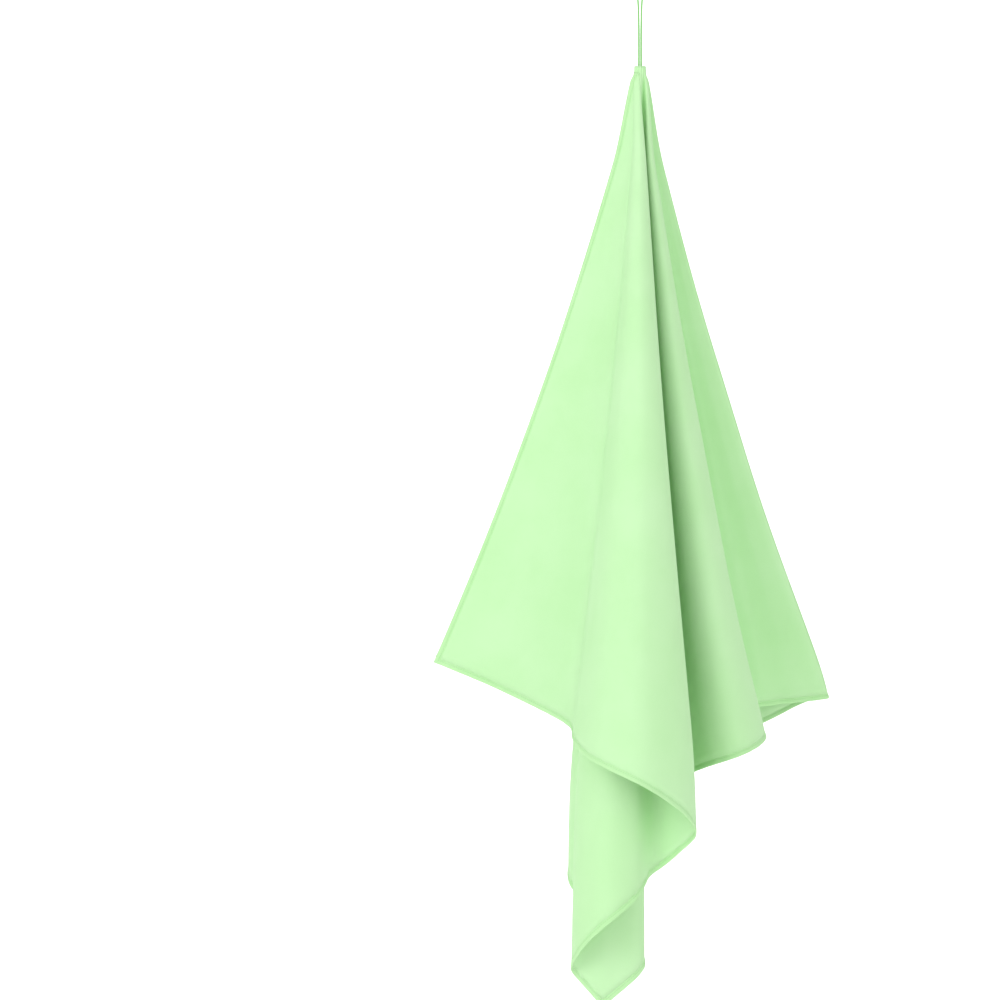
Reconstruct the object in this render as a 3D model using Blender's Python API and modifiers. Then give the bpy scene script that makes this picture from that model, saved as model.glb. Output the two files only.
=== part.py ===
"""Quick dry towel, hanging by the cord loop sewn to the middle of one long side.

Metres, +Z up, the towel's face towards -Y.  The origin is the point inside the top of the loop
where a hook bears, so everything hangs below it.

The cloth is a cone about the point where the loop leaves it.  A flat towel is a half-plane around
that point, so a point of it has a turn angle (0 along one half of the top edge, 180 degrees along
the other half) and a distance.  FOLD_PLAN is the path that the turn angle follows when the towel
hangs: its length is those 180 degrees, and each distance runs down a line that fans out at first,
then falls.
"""
import math

import bmesh
import bpy
import numpy as np

# ---- driving dimensions -------------------------------------------------------------------------
TOWEL_LENGTH = 1.50
TOWEL_WIDTH = 0.80
CLOTH_THICKNESS = 0.0008

NECK_WIDTH = 0.0130
NECK_DEPTH = 0.0100
NECK_LENGTH = 0.006
NECK_FADE = 0.120
FAN_START = 0.018

CORD_DIAMETER = 0.0024
LOOP_HEIGHT = 0.092
LOOP_BEND_RADIUS = 0.0052
LOOP_FOOT_SPACING = 0.0027

BARTACK_HEIGHT = 0.008
BARTACK_DROP = 0.0006

LABEL_WIDTH = 0.030
LABEL_HEIGHT = 0.045
LABEL_THICKNESS = 0.0004
LABEL_HEM_MARGIN = 0.012
LABEL_TURN = 110.0

FIT_GAP = 0.0003
CURVED_FIT_GAP = 0.0007

# Degrees to the right and to the back of the plumb line, along the bottom of the hanging towel,
# from the left end of its top edge round to the other end.
FOLD_PLAN = (
    # front panel, a half round that swells forward on its right
    (-18.9, 7.5), (-12.6, 4.8), (-6.6, 0.2), (-5.6, -4.7), (-3.9, -8.5), (-0.5, -9.8), (2.7, -7.9),
    (3.9, -5.2),
    # back to the left under the front panel, then the tail's front, its corner and its back
    (2.6, -3.6), (0.9, -2.7), (-0.4, -4.5), (-2.3, -5.0), (-3.8, -3.8), (-4.3, -1.9), (-2.1, -1.6),
    (-0.3, -1.3), (0.1, -0.4), (-2.4, 1.2), (-4.8, 3.2),
    # behind the tail, then the second panel's crest
    (-3.9, 7.2), (-1.0, 10.6), (1.4, 7.6), (3.6, 4.4), (5.4, 0.2), (8.0, -0.8), (10.2, 1.2),
    (10.9, 4.6),
    # third panel and the ply behind it
    (9.6, 13.0), (12.2, 14.1), (15.0, 13.9), (17.5, 14.1), (15.6, 16.8), (12.2, 17.4), (8.6, 17.8),
    (5.0, 17.4), (1.6, 17.8),
    # narrow deep gathers behind the tail
    (0.4, 17.6), (0.1, 14.0), (-0.3, 10.4), (-0.9, 10.4), (-1.1, 14.2), (-1.4, 17.8), (-2.0, 18.0),
    (-2.2, 14.0), (-2.4, 10.2), (-3.0, 10.0), (-3.1, 14.0), (-3.3, 17.6), (-3.9, 17.8),
    (-4.1, 13.6), (-4.9, 12.4),
    # out to the left behind the front panel
    (-6.2, 14.4), (-8.3, 15.8), (-10.8, 12.8), (-12.8, 14.8), (-15.2, 12.0), (-17.0, 13.0),
    (-18.9, 9.6),
)
TURNS = 150
NECK_SHARES = (0.0, 0.008, 0.024, 0.060)
BODY_SHARE = 0.13
DISTANCES = 9

# ---- drape --------------------------------------------------------------------------------------
HALF_LENGTH = TOWEL_LENGTH / 2
HOOK_TO_HEM = LOOP_HEIGHT - CORD_DIAMETER
FAN_REACH = 0.750
FAN_FIRST = 0.78
FAN_GAIN = 0.44
FALL_SLOPE = 0.12
FALL_START = 0.74
FALL_END = 0.92


def ease(x, low, high):
    """0 below low, 1 above high, and a smooth cubic between them."""
    t = np.clip((x - low) / (high - low), 0.0, 1.0)
    return t * t * (3.0 - 2.0 * t)


def spline(points, steps=24):
    """Catmull-Rom curve through the points, with its end points doubled."""
    p = np.asarray(points, dtype=float)
    p = np.vstack([2 * p[0] - p[1], p, 2 * p[-1] - p[-2]])
    t = np.linspace(0.0, 1.0, steps, endpoint=False)[:, None]
    runs = []
    for a, b, c, d in zip(p[:-3], p[1:-2], p[2:-1], p[3:]):
        runs.append(0.5 * (2 * b + (c - a) * t + (2 * a - 5 * b + 4 * c - d) * t ** 2
                           + (3 * b - a - 3 * c + d) * t ** 3))
    return np.vstack(runs + [p[-2:-1]])


def plan_direction(turn):
    """Sideways and backward share of the distance at each turn angle, in degrees.

    The turn angle is the length walked along the fold plan on a sphere of radius 1.
    """
    side_back = np.sin(np.radians(spline(FOLD_PLAN)))
    down = np.sqrt(1.0 - (side_back ** 2).sum(axis=1))
    on_sphere = np.column_stack([side_back, -down])
    walked = np.concatenate([[0.0], np.cumsum(np.linalg.norm(np.diff(on_sphere, axis=0), axis=1))])
    walked *= 180.0 / walked[-1]
    return np.column_stack([np.interp(turn, walked, side_back[:, i]) for i in (0, 1)])


def hem_distance(turn):
    """Distance from the hanging point to the towel's outline at each turn angle, in degrees."""
    t = np.radians(turn)
    to_short_side = HALF_LENGTH / np.maximum(np.abs(np.cos(t)), 1e-6)
    to_long_side = TOWEL_WIDTH / np.maximum(np.sin(t), 1e-6)
    return np.minimum(to_short_side, to_long_side)


FAN_TABLE = np.linspace(0.0, 1.5, 601)
fan_slope = FAN_FIRST + FAN_GAIN * FAN_TABLE / FAN_REACH
fall = ease(FAN_TABLE, FALL_START, FALL_END)
fan_slope = fan_slope * (1.0 - fall) + FALL_SLOPE * fall
FAN_SPREAD = np.concatenate([[0.0], np.cumsum((fan_slope[1:] + fan_slope[:-1]) / 2
                                              * np.diff(FAN_TABLE))])


def cloth_point(turn, distance):
    """Place of the cloth's middle surface for arrays of turn angle (n) and distance (n, m)."""
    share = plan_direction(turn)
    hem = hem_distance(turn)
    spread = np.interp(distance, FAN_TABLE, FAN_SPREAD)
    spread *= (hem / np.interp(hem, FAN_TABLE, FAN_SPREAD))[:, None]
    spread *= ease(distance, NECK_LENGTH, FAN_START)
    neck = 1.0 - ease(distance, NECK_LENGTH, NECK_FADE)
    around = np.radians(8.0 + turn * 344.0 / 180.0)
    neck_x = -NECK_WIDTH / 2 * np.cos(around)
    neck_y = -NECK_DEPTH / 2 * np.sin(around)
    x = neck_x[:, None] * neck + share[:, :1] * spread
    y = neck_y[:, None] * neck + share[:, 1:] * spread
    step = np.diff(distance, axis=1)
    lean = np.minimum((np.diff(x, axis=1) ** 2 + np.diff(y, axis=1) ** 2) / step ** 2, 0.9)
    z = -np.cumsum(step * np.sqrt(1.0 - lean), axis=1)
    z = np.hstack([np.zeros((len(turn), 1)), z])
    return np.stack([x, y, z], axis=-1)


def cloth_grid(turn, fine=8):
    """The cloth's rows of points, from the neck to the hem, with the fall added up finely."""
    share = np.concatenate([NECK_SHARES, np.linspace(BODY_SHARE, 1.0, DISTANCES)])
    distance = hem_distance(turn)[:, None] * share
    steps = np.arange(fine) / fine
    dense = distance[:, :-1, None] + np.diff(distance, axis=1)[:, :, None] * steps
    dense = np.hstack([dense.reshape(len(turn), -1), distance[:, -1:]])
    return cloth_point(turn, dense)[:, ::fine]


# ---- scene helpers ------------------------------------------------------------------------------
def material(name, color, roughness, sheen=0.0):
    made = bpy.data.materials.new(name)
    made.use_nodes = True
    shader = made.node_tree.nodes["Principled BSDF"]
    shader.inputs["Base Color"].default_value = (*color, 1.0)
    shader.inputs["Roughness"].default_value = roughness
    shader.inputs["Metallic"].default_value = 0.0
    shader.inputs["Sheen Weight"].default_value = sheen
    return made


def add_object(name, data, finish):
    made = bpy.data.objects.new(name, data)
    made.location.z = -HOOK_TO_HEM
    made.data.materials.append(finish)
    towel.objects.link(made)
    return made


def sheet_mesh(name, points):
    """Open quad surface through an (n, m, 3) grid of points."""
    rows, columns = points.shape[:2]
    mesh = bpy.data.meshes.new(name)
    index = np.arange(rows * columns).reshape(rows, columns)
    corners = np.stack([index[:-1, :-1], index[:-1, 1:], index[1:, 1:], index[1:, :-1]], axis=-1)
    mesh.from_pydata(points.reshape(-1, 3).tolist(), [], corners.reshape(-1, 4).tolist())
    mesh.shade_smooth()
    return mesh


def thicken(piece, thickness):
    wall = piece.modifiers.new("thickness", "SOLIDIFY")
    wall.thickness = thickness
    wall.offset = 0.0


# ---- pieces -------------------------------------------------------------------------------------
def build_cloth():
    """The towel itself: one sheet of brushed microfibre, with its hems turned on all four sides."""
    turn = np.linspace(0.0, 180.0, TURNS + 1)
    piece = add_object("towel_cloth", sheet_mesh("towel_cloth", cloth_grid(turn)),
                       material("mint_microfibre", (0.46, 0.86, 0.42), 0.88, sheen=0.3))
    thicken(piece, CLOTH_THICKNESS)


def loop_route():
    """The loop's centre line: straight up from one foot, round the top and down to the other."""
    foot_x = LOOP_FOOT_SPACING / 2
    foot_z = -BARTACK_DROP + FIT_GAP
    bend_z = LOOP_HEIGHT - LOOP_BEND_RADIUS - CORD_DIAMETER / 2
    side = [(foot_x, foot_z), (foot_x, foot_z + 0.006), (foot_x, bend_z * 0.25),
            (foot_x * 1.12, bend_z * 0.58), (LOOP_BEND_RADIUS * 0.45, bend_z * 0.88)]
    bend = []
    for degrees in range(0, 181, 30):
        angle = math.radians(degrees)
        bend.append((LOOP_BEND_RADIUS * math.cos(angle), bend_z + LOOP_BEND_RADIUS * math.sin(angle)))
    mirrored = [(-x, z) for x, z in reversed(side)]
    return spline([(x, 0.0, z) for x, z in side + bend + mirrored], steps=4)


def build_loop():
    """The hanging loop: a length of round braided cord, both ends sewn into the hem."""
    curve = bpy.data.curves.new("hanging_loop", "CURVE")
    curve.dimensions = "3D"
    curve.bevel_depth = CORD_DIAMETER / 2
    curve.bevel_resolution = 2
    curve.use_fill_caps = True
    route = loop_route()
    run = curve.splines.new("POLY")
    run.points.add(len(route) - 1)
    for point, place in zip(run.points, route):
        point.co = (*place, 1.0)
    add_object("hanging_loop", curve, material("mint_cord", (0.20, 0.62, 0.22), 0.75))


def build_bartack():
    """The bar tack: the block of stitches that holds both ends of the loop inside the hem."""
    mesh = bpy.data.meshes.new("loop_bartack")
    shape = bmesh.new()
    bmesh.ops.create_cone(shape, cap_ends=True, segments=24, radius1=0.5, radius2=0.5, depth=1.0)
    wall = CLOTH_THICKNESS / 2 + CURVED_FIT_GAP
    size = (NECK_WIDTH - 2 * wall, NECK_DEPTH - 2 * wall, BARTACK_HEIGHT)
    bmesh.ops.scale(shape, vec=size, verts=shape.verts)
    bmesh.ops.translate(shape, vec=(0, 0, -BARTACK_DROP - BARTACK_HEIGHT / 2), verts=shape.verts)
    shape.to_mesh(mesh)
    shape.free()
    add_object("loop_bartack", mesh, material("mint_thread", (0.26, 0.66, 0.26), 0.7))


def build_label():
    """The care label: a strip of white woven tape sewn flat to the cloth's outer back ply."""
    step = 180.0 / TURNS
    columns = max(1, round(math.degrees(LABEL_WIDTH / TOWEL_WIDTH) / step))
    first = round(LABEL_TURN / step)
    turn = (first + np.arange(columns + 1)) * step
    upper, hem = np.moveaxis(cloth_grid(turn)[:, -2:], 1, 0)
    run = np.linalg.norm(upper - hem, axis=1)[:, None]
    up = (upper - hem) / run
    rows = LABEL_HEM_MARGIN + LABEL_HEIGHT * np.array([1.0, 0.5, 0.0])
    grid = hem[:, None] + up[:, None] * rows[:, None]
    outward = np.cross(np.gradient(grid, axis=1), np.gradient(grid, axis=0))
    outward /= np.linalg.norm(outward, axis=2, keepdims=True)
    outward *= np.sign(outward[:, :, 1:2])
    lift = CLOTH_THICKNESS / 2 + FIT_GAP + LABEL_THICKNESS / 2
    piece = add_object("care_label", sheet_mesh("care_label", grid + lift * outward),
                       material("white_tape", (0.85, 0.86, 0.84), 0.6))
    thicken(piece, LABEL_THICKNESS)


for old in list(bpy.data.objects):
    bpy.data.objects.remove(old, do_unlink=True)
towel = bpy.data.collections.new("quick_dry_towel")
bpy.context.scene.collection.children.link(towel)
build_cloth()
build_loop()
build_bartack()
build_label()
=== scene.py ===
"""A mint green quick dry towel that hangs from a cord loop at the middle of one long side."""
import math

import bmesh
import bpy
import numpy as np
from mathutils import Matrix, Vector


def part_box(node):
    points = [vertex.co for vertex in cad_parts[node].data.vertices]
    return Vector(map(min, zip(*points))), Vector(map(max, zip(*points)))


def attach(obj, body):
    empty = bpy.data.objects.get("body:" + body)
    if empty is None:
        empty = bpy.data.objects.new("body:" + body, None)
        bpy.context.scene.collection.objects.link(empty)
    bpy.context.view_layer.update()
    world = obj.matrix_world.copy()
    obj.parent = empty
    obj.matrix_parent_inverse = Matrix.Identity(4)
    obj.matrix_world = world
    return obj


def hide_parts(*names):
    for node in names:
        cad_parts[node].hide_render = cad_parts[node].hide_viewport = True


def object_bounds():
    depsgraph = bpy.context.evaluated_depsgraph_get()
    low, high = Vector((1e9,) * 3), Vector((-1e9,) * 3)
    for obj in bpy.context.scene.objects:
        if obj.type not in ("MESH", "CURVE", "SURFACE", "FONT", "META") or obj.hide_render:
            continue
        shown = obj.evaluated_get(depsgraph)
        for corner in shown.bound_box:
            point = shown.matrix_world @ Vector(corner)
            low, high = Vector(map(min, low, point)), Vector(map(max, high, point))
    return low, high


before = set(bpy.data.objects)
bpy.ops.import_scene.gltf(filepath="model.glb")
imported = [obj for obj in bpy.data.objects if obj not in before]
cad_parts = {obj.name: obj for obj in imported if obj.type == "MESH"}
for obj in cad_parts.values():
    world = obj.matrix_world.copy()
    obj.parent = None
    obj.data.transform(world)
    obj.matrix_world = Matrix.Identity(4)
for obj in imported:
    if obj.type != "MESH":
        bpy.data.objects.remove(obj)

cad_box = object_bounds()

# ---- towel cloth --------------------------------------------------------------------------------
# One sheet of warp-knitted microfibre, lightly brushed on both faces, thin enough to fold small.
# It is cut flat, and hangs from the middle of its top edge in long folds that fan out from there:
# hang() carries any point of the flat towel to the place where it hangs.
TOWEL_LENGTH = 1.50
TOWEL_WIDTH = 0.80
CLOTH_THICKNESS = 0.0007
HEM_DEPTH = 0.0062
HALF_LENGTH = TOWEL_LENGTH / 2
HEM_TOP = Vector(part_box("towel_cloth")[1]).z
NECK_WIDTH = 0.0130
NECK_DEPTH = 0.0100
NECK_LENGTH = 0.006
NECK_FADE = 0.120
FAN_START = 0.018

# Degrees to the right and to the back of the plumb line, along the bottom of the hanging towel,
# from the left end of its top edge round to the other end.
FOLD_PLAN = (
    # front panel, a half round that swells forward on its right
    (-18.9, 7.5), (-12.6, 4.8), (-6.6, 0.2), (-5.6, -4.7), (-3.9, -8.5), (-0.5, -9.8), (2.7, -7.9),
    (3.9, -5.2),
    # back to the left under the front panel, then the tail's front, its corner and its back
    (2.6, -3.6), (0.9, -2.7), (-0.4, -4.5), (-2.3, -5.0), (-3.8, -3.8), (-4.3, -1.9), (-2.1, -1.6),
    (-0.3, -1.3), (0.1, -0.4), (-2.4, 1.2), (-4.8, 3.2),
    # behind the tail, then the second panel's crest
    (-3.9, 7.2), (-1.0, 10.6), (1.4, 7.6), (3.6, 4.4), (5.4, 0.2), (8.0, -0.8), (10.2, 1.2),
    (10.9, 4.6),
    # third panel and the ply behind it
    (9.6, 13.0), (12.2, 14.1), (15.0, 13.9), (17.5, 14.1), (15.6, 16.8), (12.2, 17.4), (8.6, 17.8),
    (5.0, 17.4), (1.6, 17.8),
    # narrow deep gathers behind the tail
    (0.4, 17.6), (0.1, 14.0), (-0.3, 10.4), (-0.9, 10.4), (-1.1, 14.2), (-1.4, 17.8), (-2.0, 18.0),
    (-2.2, 14.0), (-2.4, 10.2), (-3.0, 10.0), (-3.1, 14.0), (-3.3, 17.6), (-3.9, 17.8),
    (-4.1, 13.6), (-4.9, 12.4),
    # out to the left behind the front panel
    (-6.2, 14.4), (-8.3, 15.8), (-10.8, 12.8), (-12.8, 14.8), (-15.2, 12.0), (-17.0, 13.0),
    (-18.9, 9.6),
)


def ease(x, low, high):
    """0 below low, 1 above high, and the cubic 3t^2 - 2t^3 between them."""
    t = np.clip((x - low) / (high - low), 0.0, 1.0)
    return t * t * (3.0 - 2.0 * t)


def spline(points, steps):
    """Catmull-Rom curve through the points: each run is a cubic whose slope at a point is half the
    way from the point before to the point after."""
    p = np.asarray(points, dtype=float)
    p = np.vstack([2 * p[0] - p[1], p, 2 * p[-1] - p[-2]])
    a, b, c, d = (p[i:len(p) - 3 + i, None] for i in range(4))
    t = np.linspace(0.0, 1.0, steps, endpoint=False)[None, :, None]
    runs = 0.5 * (2 * b + (c - a) * t + (2 * a - 5 * b + 4 * c - d) * t ** 2
                  + (3 * b - a - 3 * c + d) * t ** 3)
    return np.vstack([runs.reshape(-1, p.shape[1]), p[-2:-1]])


def plan_direction(turn):
    """Share of the distance that goes sideways and backwards at each turn angle in degrees. The
    turn angle is the length walked along the fold plan on a sphere of radius 1."""
    side_back = np.sin(np.radians(spline(FOLD_PLAN, 24)))
    down = np.sqrt(1.0 - (side_back ** 2).sum(axis=1))
    steps = np.diff(np.column_stack([side_back, -down]), axis=0)
    walked = np.concatenate([[0.0], np.cumsum(np.linalg.norm(steps, axis=1))])
    walked *= 180.0 / walked[-1]
    return [np.interp(turn, walked, side_back[:, i]) for i in (0, 1)]


def hem_distance(turn):
    """Distance to the towel's outline: half length over the cosine of the turn angle at the short
    sides, width over its sine at the long one."""
    t = np.radians(turn)
    to_short_side = HALF_LENGTH / np.maximum(np.abs(np.cos(t)), 1e-6)
    to_long_side = TOWEL_WIDTH / np.maximum(np.sin(t), 1e-6)
    return np.minimum(to_short_side, to_long_side)


def fan_spread(distance):
    """How far a fold has fanned out at a distance: the running sum of a slope that grows slowly,
    and fades to a small one where the cloth hangs straight down."""
    reach = np.linspace(0.0, 1.5, 601)
    fall = ease(reach, 0.74, 0.92)
    slope = (0.78 + 0.44 * reach / 0.75) * (1.0 - fall) + 0.12 * fall
    spread = np.concatenate([[0.0], np.cumsum((slope[1:] + slope[:-1]) / 2 * np.diff(reach))])
    return np.interp(distance, reach, spread)


def fold(turn, distance, fine=96):
    """Where the smooth cone of folds has a turn angle and a distance. Sideways and backwards it is
    a small oval neck, which fades out, plus a fan; its height is the fall left over by each short
    step."""
    turn, distance = np.broadcast_arrays(turn, distance)
    side, back = (share[..., None] for share in plan_direction(turn))
    hem = hem_distance(turn)
    run = distance[..., None] * np.linspace(0.0, 1.0, fine + 1) ** 1.5
    spread = fan_spread(run) * (hem / fan_spread(hem))[..., None]
    spread *= ease(run, NECK_LENGTH, FAN_START)
    neck = 1.0 - ease(run, NECK_LENGTH, NECK_FADE)
    around = np.radians(8.0 + turn * 344.0 / 180.0)[..., None]
    x = -NECK_WIDTH / 2 * np.cos(around) * neck + side * spread
    y = -NECK_DEPTH / 2 * np.sin(around) * neck + back * spread
    step = np.maximum(np.diff(run, axis=-1), 1e-9)
    lean = (np.diff(x, axis=-1) ** 2 + np.diff(y, axis=-1) ** 2) / step ** 2
    z = -(step * np.sqrt(1.0 - np.minimum(lean, 0.9))).sum(axis=-1)
    return np.stack([x[..., -1], y[..., -1], z + HEM_TOP], axis=-1)


def hang(across, down, lift=0.0):
    """Place of a point of the flat towel, lifted off its middle surface along the cross product
    of two short steps on the fold, outwards and towards the middle of the cloth. across runs from
    the loop to the right, down to the far side."""
    def folded(a, d):
        d = np.maximum(d, 0.0)
        return fold(np.degrees(np.arctan2(d, -a)), np.hypot(a, d))
    across, down = np.broadcast_arrays(np.asarray(across, float), np.asarray(down, float))
    middle = folded(across, down)
    distance = np.maximum(np.hypot(across, down), 1e-4)
    out = np.stack([across, down]) / distance * 0.0004
    inwards = np.where(across > 0.0, -1.0, 1.0)
    normal = inwards[..., None] * np.cross(
        folded(across + out[0], down + out[1]) - middle,
        folded(across + inwards * out[1], down - inwards * out[0]) - middle)
    normal /= np.maximum(np.linalg.norm(normal, axis=-1, keepdims=True), 1e-12)
    return middle + normal * (np.asarray(lift) + ripple(across, down))[..., None]


def ripple(across, down):
    """Soft unevenness of hanging cloth: long waves that follow the folds, small pleats where the
    cloth is gathered to the loop, and puckers that fade with the distance from stitched hems. The
    narrow gathers at the back press on each other, so they stay flat."""
    distance = np.hypot(across, down)
    turn = np.arctan2(down, -across)
    degrees = np.degrees(turn)
    pressed = ease(degrees, 118.0, 126.0) * (1.0 - ease(degrees, 158.0, 166.0))
    body = ease(distance, 0.08, 0.45) * (1.0 - pressed)
    long_waves = (0.0016 * np.sin(15.0 * turn + 3.1 * distance)
                  + 0.0010 * np.sin(31.0 * turn - 7.3 * distance + 1.3)
                  + 0.0007 * np.sin(11.0 * across + 17.0 * down + 0.4))
    pleats = 0.0004 * np.sin(26.0 * turn) * (1.0 - ease(distance, 0.01, 0.09))
    to_hem = np.minimum(HALF_LENGTH - np.abs(across), TOWEL_WIDTH - down)
    along = np.where(HALF_LENGTH - np.abs(across) < TOWEL_WIDTH - down, down, across)
    puckers = (np.sin(290.0 * along + 2.0 * np.sin(41.0 * along))
               * np.sin(67.0 * along + 1.1)) * np.exp(-np.maximum(to_hem, 0.0) / 0.016)
    return body * long_waves + pleats + 0.00045 * puckers * (1.0 - pressed)


def face_outwards(mesh):
    """Turns the faces of a closed mesh so that they all face out."""
    shell = bmesh.new()
    shell.from_mesh(mesh)
    bmesh.ops.recalc_face_normals(shell, faces=shell.faces)
    shell.to_mesh(mesh)
    shell.free()


def grid_mesh(name, points, uv=None, closed=False):
    """Mesh of the quads of an (n, m, 3) grid of points. closed joins the last column to the first
    and shuts the tube with a face at both ends. uv is an (n, m, 2) array for the map named flat."""
    rows, columns = points.shape[:2]
    index = np.arange(rows * columns).reshape(rows, columns)
    if closed:
        index = np.hstack([index, index[:, :1]])
    quads = np.stack([index[:-1, :-1], index[:-1, 1:], index[1:, 1:], index[1:, :-1]], axis=-1)
    faces = quads.reshape(-1, 4).tolist()
    if closed:
        faces += [index[0, -2::-1].tolist(), index[-1, :-1].tolist()]
    mesh = bpy.data.meshes.new(name)
    mesh.from_pydata(points.reshape(-1, 3).tolist(), [], faces)
    if closed:
        face_outwards(mesh)
    mesh.shade_smooth()
    if uv is not None:
        corner = np.empty(len(mesh.loops), dtype=np.int32)
        mesh.loops.foreach_get("vertex_index", corner)
        layer = mesh.uv_layers.new(name="flat")
        layer.uv.foreach_set("vector", uv.reshape(-1, 2)[corner].astype(np.float32).ravel())
    return mesh


def add_piece(name, mesh, finish):
    """Links a mesh as a piece at the origin, with its finish, riding on the towel's one body."""
    piece = bpy.data.objects.new(name, mesh)
    bpy.context.scene.collection.objects.link(piece)
    piece.data.materials.append(finish)
    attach(piece, "root")
    return piece


class Socket:
    """A shader output that takes part in Python arithmetic: each operator adds its Math node."""

    def __init__(self, tree, output=None):
        self.tree = tree
        self.output = output

    def node(self, kind, settings, inputs):
        """Adds a node of a type: its settings first, then its inputs by socket name or number,
        each a value or a Socket to link."""
        made = self.tree.nodes.new(kind)
        for key, value in settings.items():
            setattr(made, key, value)
        for key, value in inputs.items():
            if isinstance(value, Socket):
                self.tree.links.new(value.output, made.inputs[key])
            else:
                made.inputs[key].default_value = value
        return made

    def math(self, operation, *values):
        made = self.node("ShaderNodeMath", {"operation": operation}, dict(enumerate(values)))
        return Socket(self.tree, made.outputs[0])

    def __add__(self, other):
        return self.math("ADD", self, other)

    def __sub__(self, other):
        return self.math("SUBTRACT", self, other)

    def __rsub__(self, other):
        return self.math("SUBTRACT", other, self)

    def __mul__(self, other):
        return self.math("MULTIPLY", self, other)

    __radd__ = __add__
    __rmul__ = __mul__

    def sine(self):
        return self.math("SINE", self)

    def size(self):
        return self.math("ABSOLUTE", self)

    def within(self, low, high):
        """0 below low, 1 above high, smooth between."""
        made = self.node("ShaderNodeMapRange", {"interpolation_type": "SMOOTHSTEP"},
                         {"Value": self, "From Min": low, "From Max": high})
        return Socket(self.tree, made.outputs["Result"])

    def mix(self, low_color, high_color):
        """Colour that goes from the low one at 0 to the high one at 1."""
        made = self.node("ShaderNodeMix", {"data_type": "RGBA"},
                         {0: self, 6: (*low_color, 1.0), 7: (*high_color, 1.0)})
        return Socket(self.tree, made.outputs[2])


def finish_material(name, roughness, **constants):
    """New material with its node tree and its shader, whose constants are set on the sockets."""
    made = bpy.data.materials.new(name)
    made.use_nodes = True
    tree = made.node_tree
    shader = tree.nodes["Principled BSDF"]
    shader.inputs["Roughness"].default_value = roughness
    for key, value in constants.items():
        shader.inputs[key.replace("_", " ")].default_value = value
    return made, tree, shader


def coordinates(tree, map_name=""):
    """The object's coordinates, or those of the UV map named map_name, whole and as x, y and z."""
    start = Socket(tree)
    if map_name:
        vector = start.node("ShaderNodeUVMap", {"uv_map": map_name}, {}).outputs["UV"]
    else:
        vector = start.node("ShaderNodeTexCoord", {}, {}).outputs["Object"]
    split = start.node("ShaderNodeSeparateXYZ", {}, {0: Socket(tree, vector)})
    return Socket(tree, vector), [Socket(tree, out) for out in split.outputs]


def noise(place, scale, detail=2.0, rough=0.5):
    """Noise of a given number of patches a metre at a place."""
    made = place.node("ShaderNodeTexNoise", {"noise_dimensions": "3D"},
                      {"Vector": place, "Scale": scale, "Detail": detail, "Roughness": rough})
    return Socket(place.tree, made.outputs["Fac"])


def bump(shader, height, strength, depth):
    """Feeds a height through a Bump node to the shader's Normal."""
    made = height.node("ShaderNodeBump", {},
                       {"Strength": strength, "Distance": depth, "Height": height})
    height.tree.links.new(made.outputs["Normal"], shader.inputs["Normal"])


KNIT_COLUMN = 0.0009
KNIT_ROW = 0.0011
MINT = (0.580, 0.890, 0.500)
MINT_DEEP = (0.540, 0.870, 0.455)


def microfibre(name, color_low, color_high):
    """Microfibre: fine knitted columns and rows under a soft nap, with a faint mottle."""
    made, tree, shader = finish_material(name, 0.9, Sheen_Weight=0.20, Sheen_Roughness=0.45,
                                         Specular_IOR_Level=0.25)
    shader.inputs["Sheen Tint"].default_value = (0.86, 1.0, 0.82, 1.0)
    flat, (across, down, _) = coordinates(tree, "flat")
    mottle = noise(flat, 9.0, 4.0, 0.55)
    nap = noise(flat, 900.0, 3.0, 0.6)
    columns = (across * (2 * math.pi / KNIT_COLUMN)).sine()
    rows = (down * (2 * math.pi / KNIT_ROW)).sine()
    color = (mottle * 0.7 + nap * 0.3).within(0.35, 0.65).mix(color_low, color_high)
    tree.links.new(color.output, shader.inputs["Base Color"])
    tree.links.new((0.84 + mottle * 0.1).output, shader.inputs["Roughness"])
    bump(shader, columns * rows * 0.5 + nap, 0.35, 0.0004)
    return made


cloth_finish = microfibre("mint microfibre", MINT_DEEP, MINT)

TURNS = 600
ROWS = 80
FIRST_ROW = 0.004
ROW_CROWDING = 1.35
UNDER_HEM = 0.4 * HEM_DEPTH
turn = np.linspace(0.0, 180.0, TURNS + 1)[:, None]
share = np.linspace(FIRST_ROW, 1.0, ROWS + 1) ** ROW_CROWDING
distance = (hem_distance(turn) - UNDER_HEM) * share
cloth_flat = np.stack([-np.cos(np.radians(turn)) * distance, np.sin(np.radians(turn)) * distance],
                      axis=-1)
cloth = add_piece("towel_cloth_sheet",
                  grid_mesh("towel_cloth_sheet", hang(cloth_flat[..., 0], cloth_flat[..., 1]),
                            cloth_flat), cloth_finish)
wall = cloth.modifiers.new("thickness", "SOLIDIFY")
wall.thickness = CLOTH_THICKNESS
wall.offset = 0.0
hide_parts("towel_cloth")

# ---- hems ---------------------------------------------------------------------------------------
# The cloth's own edge, turned over twice and stitched down on all four sides. A hem is a flat tube
# of cloth: full at its outer fold, pulled thin under the stitches, with a lip inside them.
STITCH_INSET = 0.0046
HEM_STEP = 0.0035
HEM_PROFILE = (
    (0.0000, 0.00000), (0.0002, 0.00060), (0.0008, 0.00098), (0.0018, 0.00110), (0.0032, 0.00100),
    (0.0041, 0.00078), (0.0046, 0.00056), (0.0051, 0.00070), (0.0057, 0.00072), (0.0062, 0.00036),
)


def side_path(start, end, spacing):
    """Flat points every spacing metres from a start to an end, and the direction into the cloth,
    a quarter turn from the run."""
    start, end = np.array(start), np.array(end)
    count = max(2, round(np.linalg.norm(end - start) / spacing))
    along = np.linspace(0.0, 1.0, count + 1)[:, None]
    run = (end - start) / np.linalg.norm(end - start)
    return start + (end - start) * along, np.array([run[1], -run[0]])


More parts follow.
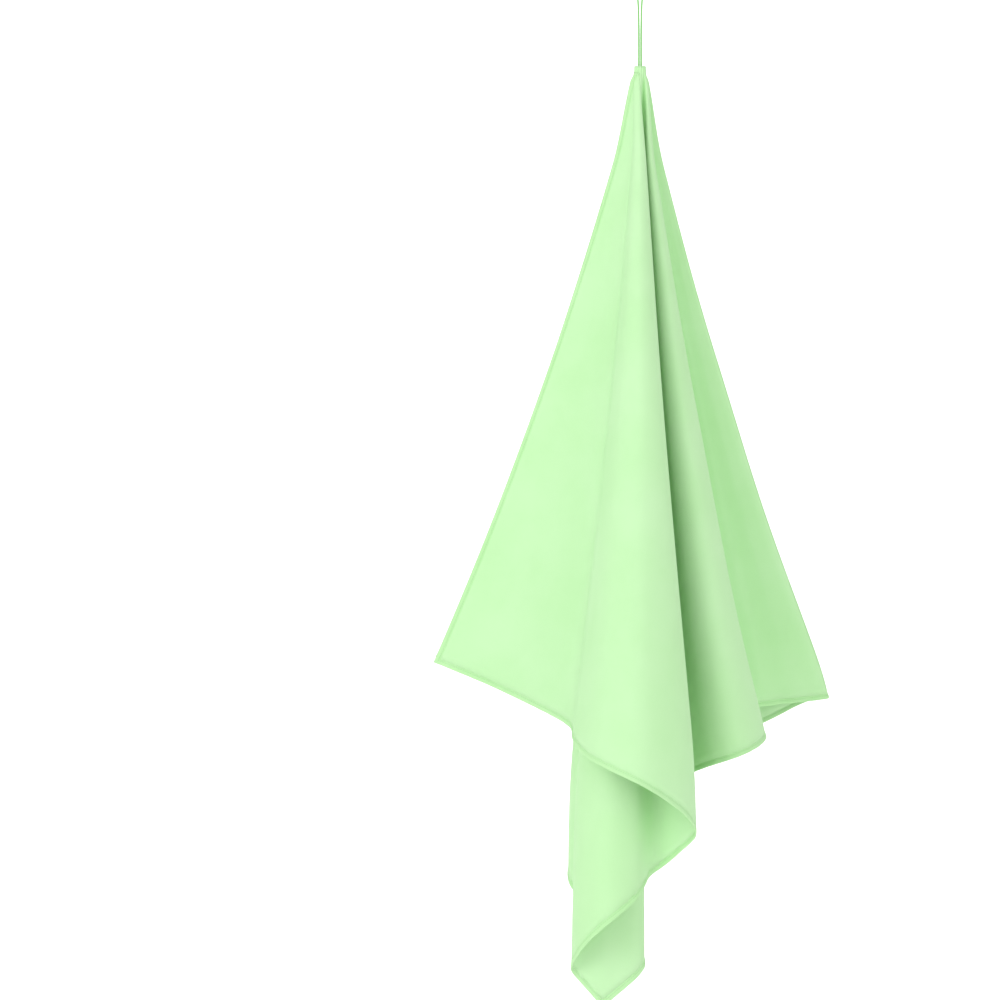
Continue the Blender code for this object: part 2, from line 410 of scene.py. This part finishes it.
NECK_HALF = 0.007
SIDES = {
    "hem_top_left": ((-NECK_HALF, 0.0), (-HALF_LENGTH, 0.0)),
    "hem_side_left": ((-HALF_LENGTH, 0.0), (-HALF_LENGTH, TOWEL_WIDTH)),
    "hem_bottom": ((-HALF_LENGTH, TOWEL_WIDTH), (HALF_LENGTH, TOWEL_WIDTH)),
    "hem_side_right": ((HALF_LENGTH, TOWEL_WIDTH), (HALF_LENGTH, 0.0)),
    "hem_top_right": ((HALF_LENGTH, 0.0), (NECK_HALF, 0.0)),
}
inset_up = np.array(HEM_PROFILE)
inset_down = inset_up[-2:0:-1] * (1.0, -1.0)
hem_profile = np.vstack([inset_up, (HEM_DEPTH, -0.00036), inset_down])
hem_finish = microfibre("mint microfibre hem", (0.50, 0.84, 0.41), (0.55, 0.87, 0.46))
for name, (start, end) in SIDES.items():
    path, inward = side_path(start, end, HEM_STEP)
    flat = path[:, None] + inward * hem_profile[None, :, :1]
    lift = np.broadcast_to(hem_profile[:, 1], flat.shape[:2])
    points = hang(flat[..., 0], flat[..., 1], lift)
    add_piece(name, grid_mesh(name, points, flat, closed=True), hem_finish)

# ---- hem stitches -------------------------------------------------------------------------------
# Lockstitch in matching polyester thread along every hem, seen as short bars on both faces.
# Each stitch is a small closed pod that sits in the groove of the hem.
STITCH_LENGTH = 0.0024
STITCH_PITCH = 0.0030
THREAD_RADIUS = 0.00022
STITCH_RISE = 0.00068


def pods(head, tail, upright, radius):
    """Closed pods from head to tail: rings of six points whose radius follows a sine."""
    axis = tail - head
    side = np.cross(axis, upright)
    side /= np.linalg.norm(side, axis=-1, keepdims=True)
    along = np.array([0.0, 0.14, 0.5, 0.86, 1.0])
    ring = radius * np.array([0.15, 0.8, 1.0, 0.8, 0.15])
    angle = np.radians(np.arange(0, 360, 60))
    circle = (np.cos(angle)[:, None] * side[:, None, None] +
              np.sin(angle)[:, None] * upright[:, None, None])
    centre = head[:, None] + axis[:, None] * along[:, None]
    return centre[:, :, None] + circle * ring[:, None, None]


def pods_mesh(name, rings):
    """One mesh of many pods, each an (m, 6) tube of quads with a six-sided cap at both ends."""
    count, m, n = rings.shape[:3]
    local = np.arange(m * n).reshape(m, n)
    wrapped = np.hstack([local, local[:, :1]])
    quads = np.stack([wrapped[:-1, :-1], wrapped[:-1, 1:], wrapped[1:, 1:], wrapped[1:, :-1]],
                     axis=-1).reshape(-1, 4)
    offsets = (np.arange(count) * m * n)[:, None, None]
    faces = (quads[None] + offsets).reshape(-1, 4).tolist()
    faces += (local[0, ::-1][None] + offsets[:, 0]).tolist()
    faces += (local[-1][None] + offsets[:, 0]).tolist()
    mesh = bpy.data.meshes.new(name)
    mesh.from_pydata(rings.reshape(-1, 3).tolist(), [], faces)
    face_outwards(mesh)
    mesh.shade_smooth()
    return mesh


def thread(name, color):
    """Satin polyester thread: a twist of fine diagonal lines, with painted shade in the grooves
    between them.
    """
    made, tree, shader = finish_material(name, 0.55, Sheen_Weight=0.15)
    _, (x, y, z) = coordinates(tree)
    twist = ((x + y + z) * 9000.0).sine() * 0.5 + 0.5
    # Painted shade: the thread colour is darker where the twist bump is low, in its grooves.
    twist_color_painted_shade = twist.mix([0.8 * c for c in color], color)
    tree.links.new(twist_color_painted_shade.output, shader.inputs["Base Color"])
    bump(shader, twist, 0.3, 0.0001)
    return made


stitch_runs = []
for start, end in SIDES.values():
    path, inward = side_path(start, end, STITCH_PITCH)
    run = (path[1] - path[0]) / np.linalg.norm(path[1] - path[0])
    line = path[:-1] + inward * STITCH_INSET
    ahead = line + run * STITCH_LENGTH
    for face in (1.0, -1.0):
        lift = face * STITCH_RISE
        head = hang(line[:, 0], line[:, 1], lift)
        tail = hang(ahead[:, 0], ahead[:, 1], lift)
        upright = head - hang(line[:, 0], line[:, 1], 0.0)
        upright /= np.linalg.norm(upright, axis=-1, keepdims=True)
        stitch_runs.append(pods(head, tail, upright, THREAD_RADIUS))
hem_stitches = add_piece("hem_stitches", pods_mesh("hem_stitches", np.concatenate(stitch_runs)),
                         thread("mint hem thread", (0.40, 0.78, 0.34)))

# ---- hanging loop -------------------------------------------------------------------------------
# A length of round braided polyester cord. Both ends go into the gathered hem and are sewn there;
# the towel's weight holds the two strands taut against each other below the hook.
CORD_DIAMETER = 0.0024
LOOP_BEND_RADIUS = 0.0052
LOOP_FOOT_SPACING = 0.0027
BRAID_PITCH = 0.0052
CORD_RINGS = 44
CORD_SIDES = 40


def loop_route(steps):
    """Centre line of the loop in the plane y = 0: up from one foot, half a circle at the top, and
    the same points mirrored down to the other foot."""
    foot_x = LOOP_FOOT_SPACING / 2
    foot_z = Vector(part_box("hanging_loop")[0]).z
    bend_z = Vector(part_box("hanging_loop")[1]).z - LOOP_BEND_RADIUS - CORD_DIAMETER / 2
    rise = bend_z - foot_z
    angle = np.radians(np.arange(0, 181, 30))
    side = [(foot_x, foot_z), (foot_x, foot_z + 0.006), (foot_x, foot_z + rise * 0.25),
            (foot_x * 1.12, foot_z + rise * 0.58), (LOOP_BEND_RADIUS * 0.45, foot_z + rise * 0.88)]
    bend = np.column_stack([np.cos(angle), np.sin(angle)]) * LOOP_BEND_RADIUS + (0.0, bend_z)
    mirrored = [(-x, z) for x, z in reversed(side)]
    x, z = spline(np.vstack([side, bend, mirrored]), steps).T
    return np.column_stack([x, np.zeros_like(x), z])


def tube(path, radius, around, relief):
    """Tube of rings round a path in the plane y = 0. Each ring stands square to the path, and
    relief(angle, run) scales its radius."""
    tangent = np.gradient(path, axis=0)
    tangent /= np.linalg.norm(tangent, axis=1, keepdims=True)
    outward = np.column_stack([tangent[:, 2], tangent[:, 1], -tangent[:, 0]])
    run = np.concatenate([[0.0], np.cumsum(np.linalg.norm(np.diff(path, axis=0), axis=1))])
    angle = np.arange(around) * 2 * math.pi / around
    scale = relief(angle[None], run[:, None])
    ring = (np.cos(angle)[None, :, None] * outward[:, None] +
            np.sin(angle)[None, :, None] * np.array([0.0, 1.0, 0.0]))
    uv = np.stack(np.broadcast_arrays(angle[None] / (2 * math.pi), run[:, None]), axis=-1)
    return path[:, None] + ring * radius * scale[..., None], uv, run[-1]


def braid(angle, run):
    """Two families of strands that wind opposite ways: the higher of two rectified cosines."""
    wind = 2 * math.pi * run / BRAID_PITCH
    right = np.abs(np.cos(4 * angle + wind))
    left = np.abs(np.cos(4 * angle - wind))
    return 0.90 + 0.10 * np.maximum(right, left)


def braided_cord(name):
    """Polyester braid: painted shade darkens it between its strands, which follow the cord's own UV.
    """
    made, tree, shader = finish_material(name, 0.7, Sheen_Weight=0.2)
    place, (around, run, _) = coordinates(tree, "flat")
    wind = run * (2 * math.pi / BRAID_PITCH)
    right = (around * (8 * math.pi) + wind).sine().size()
    left = (around * (8 * math.pi) - wind).sine().size()
    # Painted shade: the cord colour goes darker between the strands, where shade falls in the braid.
    strands_painted_gap_shade = (right * left).within(0.0, 0.8)
    color = strands_painted_gap_shade.mix((0.20, 0.50, 0.14), (0.34, 0.72, 0.26))
    tree.links.new(color.output, shader.inputs["Base Color"])
    bump(shader, noise(place, 3000.0), 0.3, 0.0001)
    return made


route = loop_route(CORD_RINGS)
points, uv, cord_length = tube(route, CORD_DIAMETER / 2, CORD_SIDES, braid)
loop = add_piece("hanging_cord", grid_mesh("hanging_cord", points, uv, closed=True),
                 braided_cord("mint braided cord"))
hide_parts("hanging_loop")

# ---- bar tack -----------------------------------------------------------------------------------
# A dense block of polyester stitches at the middle of the top hem. It is worked over both cord ends
# inside the gathered cloth, so that only its rounded top shows, with the cord rising out of it.
TACK_HALF_WIDTH = 0.0052
TACK_HALF_DEPTH = 0.0037
TACK_STITCHES = 30
tack_low = Vector(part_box("loop_bartack")[0]).z
tack_high = Vector(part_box("loop_bartack")[1]).z
TACK_PROFILE = ((0.8, 0.0), (0.98, 0.05), (1.0, 0.15), (1.0, 0.80), (0.93, 0.92),
                (0.72, 1.02), (0.40, 1.07), (0.06, 1.09))

tack_width, tack_height = spline(TACK_PROFILE, 6).T[:, :, None]
tack_angle = np.linspace(0.0, 2 * math.pi, 240, endpoint=False)[None]
stitch_relief = 1.0 + 0.045 * np.abs(np.sin(TACK_STITCHES * tack_angle)) * np.minimum(tack_width, 1)
tack_points = np.stack([
    TACK_HALF_WIDTH * tack_width * stitch_relief * np.cos(tack_angle),
    TACK_HALF_DEPTH * tack_width * stitch_relief * np.sin(tack_angle),
    tack_low + (tack_high - tack_low) * tack_height + 0.0 * tack_angle], axis=-1)
tack = add_piece("loop_bar_tack", grid_mesh("loop_bar_tack", tack_points, closed=True),
                 thread("mint tack thread", (0.30, 0.66, 0.24)))
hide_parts("loop_bartack")

# ---- care label ---------------------------------------------------------------------------------
# A strip of white woven polyester tape, its two ends folded under. It is sewn flat on the back of
# the towel beside the bottom hem, with rows of plain grey bars woven in.
LABEL_WIDTH = 0.030
LABEL_HEIGHT = 0.042
LABEL_THICKNESS = 0.0004
LABEL_TURN = 111.6
LABEL_TO_HEM = 0.0135
LABEL_BARS = 7
LABEL_GAP = 0.00015
WEFT_PITCH = 0.0005
WARP_PITCH = 0.0004
LABEL_STITCH = 0.0016
LABEL_THREAD_RADIUS = 0.00016

label_across = TOWEL_WIDTH / math.tan(math.radians(180.0 - LABEL_TURN)) - 0.011
label_low = TOWEL_WIDTH - LABEL_TO_HEM
LABEL_EDGE = ((0.0, 0.5), (0.012, 1.0), (0.10, 1.0), (0.115, 0.5), (0.885, 0.5), (0.90, 1.0),
              (0.988, 1.0), (1.0, 0.5))


def outer_side(across, down):
    """1 where the lifted side of the cloth looks to the back of the towel, -1 where the other
    side does."""
    return math.copysign(1.0, (hang(across, down, 0.001) - hang(across, down, 0.0))[..., 1])


label_side = outer_side(label_across, label_low - LABEL_HEIGHT / 2)
edge_places, edge_heights = np.array(LABEL_EDGE).T
edge_share = np.concatenate([np.linspace(a, b, 5)[:-1] for a, b in
                             zip(edge_places[:-1], edge_places[1:])] + [edge_places[-1:]])
edge_full = np.interp(edge_share, edge_places, edge_heights)
top_lift = LABEL_THICKNESS * 2 * edge_full
tape_down = label_low - LABEL_HEIGHT * np.concatenate([edge_share, edge_share[::-1]])
tape_lift = np.concatenate([top_lift, 0.0 * top_lift])
tape_across = label_across + LABEL_WIDTH * np.linspace(-0.5, 0.5, 31)
label_clear = CLOTH_THICKNESS / 2 + LABEL_GAP
flat = np.stack(np.broadcast_arrays(tape_across[:, None], tape_down[None]), axis=-1)
points = hang(flat[..., 0], flat[..., 1], label_side * (label_clear + tape_lift[None]))


def woven_tape(name):
    """White tape: fine ribs across it, and grey bars of different lengths in its middle part."""
    made, tree, shader = finish_material(name, 0.6, Sheen_Weight=0.1)
    _, (across, down, _) = coordinates(tree, "flat")
    right = (across - (label_across - LABEL_WIDTH / 2)) * (1 / LABEL_WIDTH)
    up = (label_low - down) * (1 / LABEL_HEIGHT)
    row = (up * (2 * math.pi * LABEL_BARS / 0.7)).sine().within(0.35, 0.45)
    body = up.within(0.16, 0.17) * (1.0 - up.within(0.84, 0.85))
    length = 0.66 + (up * 23.0).sine() * 0.18
    bar = row * body * right.within(0.14, 0.145) * (1.0 - (right - length).within(0.0, 0.005))
    color = bar.mix((0.80, 0.82, 0.80), (0.20, 0.21, 0.21))
    tree.links.new(color.output, shader.inputs["Base Color"])
    wefts = (down * (2 * math.pi / WEFT_PITCH)).sine()
    warps = (across * (2 * math.pi / WARP_PITCH)).sine()
    bump(shader, wefts * 0.5 + warps, 0.3, 0.0001)
    return made


label = add_piece("sewn_care_label", grid_mesh("sewn_care_label", points, flat, closed=True),
                  woven_tape("white woven tape"))
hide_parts("care_label")

label_runs = []
for share_up in (0.055, 0.945):
    down = label_low - LABEL_HEIGHT * share_up
    starts = label_across + LABEL_WIDTH * (np.arange(0.04, 0.94, 0.072) - 0.5)
    lift = label_side * (label_clear + 2 * LABEL_THICKNESS)
    head = hang(starts, down, lift)
    tail = hang(starts + LABEL_STITCH, down, lift)
    upright = head - hang(starts, down, 0.0)
    upright /= np.linalg.norm(upright, axis=-1, keepdims=True)
    label_runs.append(pods(head, tail, upright, LABEL_THREAD_RADIUS))
label_stitches = add_piece("label_stitches", pods_mesh("label_stitches", np.concatenate(label_runs)),
                           thread("white label thread", (0.82, 0.84, 0.82)))

# ---- floor, light and camera --------------------------------------------------------------------
# A pale floor well below the towel runs up into a pale wall behind it, lit softly from the front
# left. The camera looks straight along +Y at the middle of the towel and stands to its left.
VIEW_WIDTH = 1.169
VIEW_DISTANCE = 3.2
LOOP_RIGHT_OF_VIEW = 0.140
HEM_ABOVE_VIEW = 0.434
FLOOR_DROP = 0.28
WALL_START = 2.6
WALL_BEND = 2.2

camera_data = bpy.data.cameras.new("camera")
camera_data.sensor_width = 36.0
camera_data.lens = camera_data.sensor_width * VIEW_DISTANCE / VIEW_WIDTH
camera = bpy.data.objects.new("camera", camera_data)
bpy.context.scene.collection.objects.link(camera)
camera.location = (-LOOP_RIGHT_OF_VIEW * VIEW_WIDTH, -VIEW_DISTANCE,
                   HEM_TOP - HEM_ABOVE_VIEW * VIEW_WIDTH)
camera.rotation_euler = (math.pi / 2, 0.0, 0.0)
bpy.context.scene.camera = camera

floor_z = Vector(cad_box[0]).z - FLOOR_DROP
sweep_angle = np.linspace(0.0, math.pi / 2, 25)
sweep = np.vstack([[(-9.0, floor_z)],
                   np.column_stack([WALL_START + WALL_BEND * np.sin(sweep_angle),
                                    floor_z + WALL_BEND * (1 - np.cos(sweep_angle))]),
                   [(WALL_START + WALL_BEND, floor_z + 7.0)]])
width = np.array([-9.0, 9.0])[:, None]
backdrop_points = np.stack(np.broadcast_arrays(width, sweep[None, :, 0], sweep[None, :, 1]), axis=-1)
backdrop_finish, _, backdrop_shader = finish_material("pale studio floor", 0.9)
backdrop_shader.inputs["Base Color"].default_value = (0.93, 0.93, 0.93, 1.0)
backdrop = bpy.data.objects.new("floor", grid_mesh("floor", backdrop_points))
backdrop.data.materials.append(backdrop_finish)
bpy.context.scene.collection.objects.link(backdrop)


def soft_light(name, place, aim, size, watts):
    """A square area light that faces an aim point."""
    data = bpy.data.lights.new(name, "AREA")
    data.shape = "SQUARE"
    data.size = size
    data.energy = watts
    light = bpy.data.objects.new(name, data)
    light.location = place
    light.rotation_euler = (Vector(aim) - Vector(place)).to_track_quat("-Z", "Y").to_euler()
    bpy.context.scene.collection.objects.link(light)


middle = (Vector(cad_box[0]) + Vector(cad_box[1])) / 2
soft_light("key light", middle + Vector((-2.2, -2.5, 0.8)), middle, 1.8, 39.0)
soft_light("fill light", middle + Vector((1.9, -2.6, 0.4)), middle, 2.2, 18.0)
soft_light("wall light", Vector((0.0, 2.6, 2.3)), Vector((0.0, 5.0, -0.4)), 3.0, 150.0)
world = bpy.data.worlds.new("studio")
bpy.context.scene.world = world
world.use_nodes = True
world.node_tree.nodes["Background"].inputs["Color"].default_value = (1.0, 1.0, 1.0, 1.0)
world.node_tree.nodes["Background"].inputs["Strength"].default_value = 0.70
bpy.context.scene.view_settings.view_transform = "Standard"
